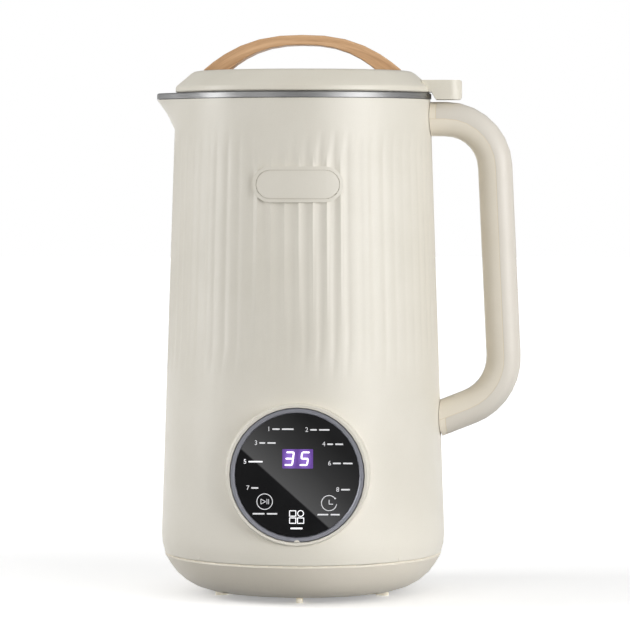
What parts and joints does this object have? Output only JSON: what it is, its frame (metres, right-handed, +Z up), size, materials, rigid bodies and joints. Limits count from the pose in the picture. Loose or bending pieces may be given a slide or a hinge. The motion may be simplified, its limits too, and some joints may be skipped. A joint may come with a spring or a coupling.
{
  "type": "nut milk maker",
  "caption": "Tall cream fluted jug with a cooking and blending drive inside, steel cup with pouring lip, lift-off lid with arched wood-look handle, side grip and round touch panel.",
  "frame": {"origin": "on the table, under the middle of the whole object's box", "axes": "+Z up along the jug's axis, -Y towards the control panel, +X towards the side handle, -X towards the pouring lip"},
  "size_m": [0.1793, 0.1409, 0.275],
  "materials": {
    "cream_shell": "fine satin cream moulding with sharp-ridged flutes",
    "cream_handle": "fine satin cream moulding",
    "base_plastic": "satin moulding, a little darker than the shell",
    "lid_plastic": "satin cream moulding",
    "lid_inner_plastic": "satin food-safe plastic",
    "foot_rubber": "soft cream rubber",
    "wood_look": "light brown straight grain, satin",
    "jug_steel": "polished rim, fine turned lines inside",
    "plain_steel": "plain machined",
    "blade_steel": "ground edges",
    "silicone": "translucent white",
    "grey_bezel": "satin grey ring",
    "black_lens": "high gloss",
    "display": "lit violet segment display",
    "circuit_board": "green solder mask",
    "black_plastic": "fine texture",
    "brass": "plain",
    "aluminium": "cast",
    "motor_iron": "laminated",
    "copper": "varnished copper",
    "carbon": "carbon block",
    "magnet": "nickel plated"
  },
  "bodies": {
    "jug_body": {"outer_shell": "cream_shell", "base_cover": "base_plastic", "foot_1": "foot_rubber", "foot_2": "foot_rubber", "foot_3": "foot_rubber", "foot_4": "foot_rubber", "foot_5": "foot_rubber", "base_screw_1": "plain_steel", "base_screw_2": "plain_steel", "base_screw_3": "plain_steel", "inner_jug": "jug_steel", "rim_seal": "silicone", "handle_frame": "cream_handle", "handle_cover": "cream_handle", "handle_screw": "plain_steel", "reed_switch": "black_plastic", "badge_plate": "cream_shell", "panel_bezel": "grey_bezel", "panel_lens": "black_lens", "display_module": "display", "control_board": "circuit_board", "key_spring_start": "brass", "key_spring_menu": "brass", "key_spring_timer": "brass", "inlet_socket": "black_plastic", "inlet_pin_live": "brass", "inlet_pin_earth": "brass", "inlet_pin_neutral": "brass", "power_board": "circuit_board", "board_transformer": "black_plastic", "heater_plate": "aluminium", "heating_element": "plain_steel", "thermal_cutout": "brass", "temperature_sensor": "plain_steel", "shaft_seal": "silicone", "motor_carrier": "plain_steel", "motor_upper_bracket": "aluminium", "motor_lower_bracket": "aluminium", "upper_bearing": "plain_steel", "lower_bearing": "plain_steel", "stator_core": "motor_iron", "field_coil_front": "copper", "field_coil_rear": "copper", "brush_holder_left": "carbon", "brush_holder_right": "carbon"},
    "lid": {"lid_cover": "lid_plastic", "lid_inner": "lid_inner_plastic", "lid_gasket": "silicone", "lid_magnet": "magnet", "lid_handle": "wood_look", "lid_screw_left": "plain_steel", "lid_screw_right": "plain_steel"},
    "rotor": {"motor_shaft": "plain_steel", "armature": "motor_iron", "commutator": "copper", "cooling_fan": "black_plastic", "lower_blade": "blade_steel", "upper_blade": "blade_steel", "blade_nut": "blade_steel"}
  },
  "joints": [
    {"name": "lid_lift", "type": "slide", "parent": "jug_body", "child": "lid", "axis": [0, 0, 1], "range_m": [0, 0.12]},
    {"name": "blade_spin", "type": "hinge", "parent": "jug_body", "child": "rotor", "pos_m": [-0.0175, 0.00061, 0.06], "axis": [0, 0, 1], "continuous": true}
  ]
}
